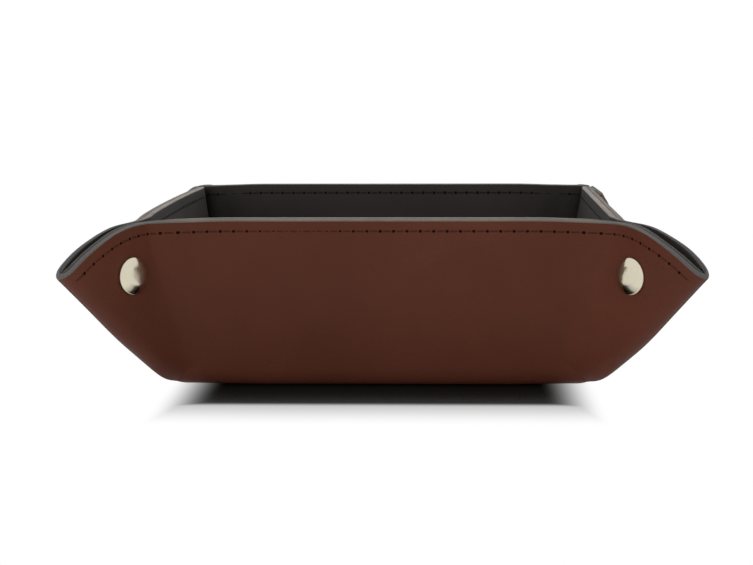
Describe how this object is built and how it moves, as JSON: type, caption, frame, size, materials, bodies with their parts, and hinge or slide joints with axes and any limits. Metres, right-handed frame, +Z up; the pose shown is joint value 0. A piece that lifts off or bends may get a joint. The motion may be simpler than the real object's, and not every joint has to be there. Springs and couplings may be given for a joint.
{
  "type": "valet tray",
  "caption": "Square folding valet tray in lined leather, its four walls held up by corners pinched into ears and closed with snap fasteners; unsnapped it lies flat.",
  "frame": {"origin": "middle of the base on its underside", "axes": "+X to the right, +Y to the back, +Z up, seen from the front wall; caps are on the ear halves of the front and back walls"},
  "size_m": [0.209, 0.2141, 0.057],
  "materials": {
    "brown_leather": "smooth, satin, dark reddish brown",
    "lining_leather": "smooth, matte, dark grey",
    "thread": "waxed thread, tone on tone",
    "nickel_plate": "polished nickel plate",
    "spring_steel": "drawn wire"
  },
  "bodies": {
    "base": {"leather_base": "brown_leather", "lining_base": "lining_leather"},
    "wall_front": {"thread_wall_front": "thread", "leather_wall_front": "brown_leather", "lining_wall_front": "lining_leather"},
    "wall_right": {"thread_wall_right": "thread", "leather_wall_right": "brown_leather", "lining_wall_right": "lining_leather"},
    "wall_back": {"thread_wall_back": "thread", "leather_wall_back": "brown_leather", "lining_wall_back": "lining_leather"},
    "wall_left": {"thread_wall_left": "thread", "leather_wall_left": "brown_leather", "lining_wall_left": "lining_leather"},
    "ear_front_right": {"leather_ear_front_right": "brown_leather", "lining_ear_front_right": "lining_leather", "thread_ear_front_right": "thread", "snap_cap_front_right": "nickel_plate", "snap_socket_front_right": "nickel_plate", "snap_spring_front_right": "spring_steel"},
    "ear_front_left": {"leather_ear_front_left": "brown_leather", "lining_ear_front_left": "lining_leather", "thread_ear_front_left": "thread", "snap_cap_front_left": "nickel_plate", "snap_socket_front_left": "nickel_plate", "snap_spring_front_left": "spring_steel"},
    "ear_right_back": {"leather_ear_right_back": "brown_leather", "lining_ear_right_back": "lining_leather", "thread_ear_right_back": "thread", "snap_post_back_right": "nickel_plate", "snap_stud_back_right": "nickel_plate"},
    "ear_right_front": {"leather_ear_right_front": "brown_leather", "lining_ear_right_front": "lining_leather", "thread_ear_right_front": "thread", "snap_post_front_right": "nickel_plate", "snap_stud_front_right": "nickel_plate"},
    "ear_back_left": {"leather_ear_back_left": "brown_leather", "lining_ear_back_left": "lining_leather", "thread_ear_back_left": "thread", "snap_cap_back_left": "nickel_plate", "snap_socket_back_left": "nickel_plate", "snap_spring_back_left": "spring_steel"},
    "ear_back_right": {"leather_ear_back_right": "brown_leather", "lining_ear_back_right": "lining_leather", "thread_ear_back_right": "thread", "snap_cap_back_right": "nickel_plate", "snap_socket_back_right": "nickel_plate", "snap_spring_back_right": "spring_steel"},
    "ear_left_front": {"leather_ear_left_front": "brown_leather", "lining_ear_left_front": "lining_leather", "thread_ear_left_front": "thread", "snap_post_front_left": "nickel_plate", "snap_stud_front_left": "nickel_plate"},
    "ear_left_back": {"leather_ear_left_back": "brown_leather", "lining_ear_left_back": "lining_leather", "thread_ear_left_back": "thread", "snap_post_back_left": "nickel_plate", "snap_stud_back_left": "nickel_plate"}
  },
  "joints": [
    {"name": "front_wall_fold", "type": "hinge", "parent": "base", "child": "wall_front", "pos_m": [0, -0.07, 0], "axis": [1, 0, 0], "range_deg": [0, 82]},
    {"name": "right_wall_fold", "type": "hinge", "parent": "base", "child": "wall_right", "pos_m": [0.07, 0, 0], "axis": [0, 1, 0], "range_deg": [0, 82]},
    {"name": "back_wall_fold", "type": "hinge", "parent": "base", "child": "wall_back", "pos_m": [0, 0.07, 0], "axis": [-1, 0, 0], "range_deg": [0, 82]},
    {"name": "left_wall_fold", "type": "hinge", "parent": "base", "child": "wall_left", "pos_m": [-0.07, 0, 0], "axis": [0, -1, 0], "range_deg": [0, 82]},
    {"name": "front_right_ear_fold", "type": "hinge", "parent": "wall_front", "child": "ear_front_right", "pos_m": [0.06353, -0.06785, 0.00121], "axis": [0.1378, -0.1378, 0.9808], "range_deg": [0, 40.55]},
    {"name": "front_left_ear_fold", "type": "hinge", "parent": "wall_front", "child": "ear_front_left", "pos_m": [-0.0643, -0.06783, 0.00111], "axis": [0.1378, 0.1378, -0.9808], "range_deg": [0, 45.55]},
    {"name": "right_back_ear_fold", "type": "hinge", "parent": "wall_right", "child": "ear_right_back", "pos_m": [0.06796, 0.05749, 0.00204], "axis": [0.1378, 0.1378, 0.9808], "range_deg": [0, 21.55]},
    {"name": "right_front_ear_fold", "type": "hinge", "parent": "wall_right", "child": "ear_right_front", "pos_m": [0.06782, -0.06492, 0.00102], "axis": [-0.1378, 0.1378, -0.9808], "range_deg": [0, 50.55]},
    {"name": "back_left_ear_fold", "type": "hinge", "parent": "wall_back", "child": "ear_back_left", "pos_m": [-0.06651, 0.06779, 0.0008], "axis": [-0.1378, 0.1378, 0.9808], "range_deg": [0, 69.55]},
    {"name": "back_right_ear_fold", "type": "hinge", "parent": "wall_back", "child": "ear_back_right", "pos_m": [0.06651, 0.06779, 0.0008], "axis": [-0.1378, -0.1378, -0.9808], "range_deg": [0, 69.55]},
    {"name": "left_front_ear_fold", "type": "hinge", "parent": "wall_left", "child": "ear_left_front", "pos_m": [-0.06783, -0.0643, 0.00111], "axis": [-0.1378, -0.1378, 0.9808], "range_deg": [0, 45.55]},
    {"name": "left_back_ear_fold", "type": "hinge", "parent": "wall_left", "child": "ear_left_back", "pos_m": [-0.06796, 0.05749, 0.00204], "axis": [0.1378, -0.1378, -0.9808], "range_deg": [0, 21.55]}
  ],
  "couplings": [
    {"joint": "right_wall_fold", "follows": "front_wall_fold", "ratio": 1},
    {"joint": "back_wall_fold", "follows": "front_wall_fold", "ratio": 1},
    {"joint": "left_wall_fold", "follows": "front_wall_fold", "ratio": 1},
    {"joint": "front_right_ear_fold", "follows": "front_wall_fold", "ratio": 0.49457},
    {"joint": "front_left_ear_fold", "follows": "front_wall_fold", "ratio": 0.55555},
    {"joint": "right_back_ear_fold", "follows": "front_wall_fold", "ratio": 0.26286},
    {"joint": "right_front_ear_fold", "follows": "front_wall_fold", "ratio": 0.61652},
    {"joint": "back_left_ear_fold", "follows": "front_wall_fold", "ratio": 0.84823},
    {"joint": "back_right_ear_fold", "follows": "front_wall_fold", "ratio": 0.84823},
    {"joint": "left_front_ear_fold", "follows": "front_wall_fold", "ratio": 0.55555},
    {"joint": "left_back_ear_fold", "follows": "front_wall_fold", "ratio": 0.26286}
  ]
}
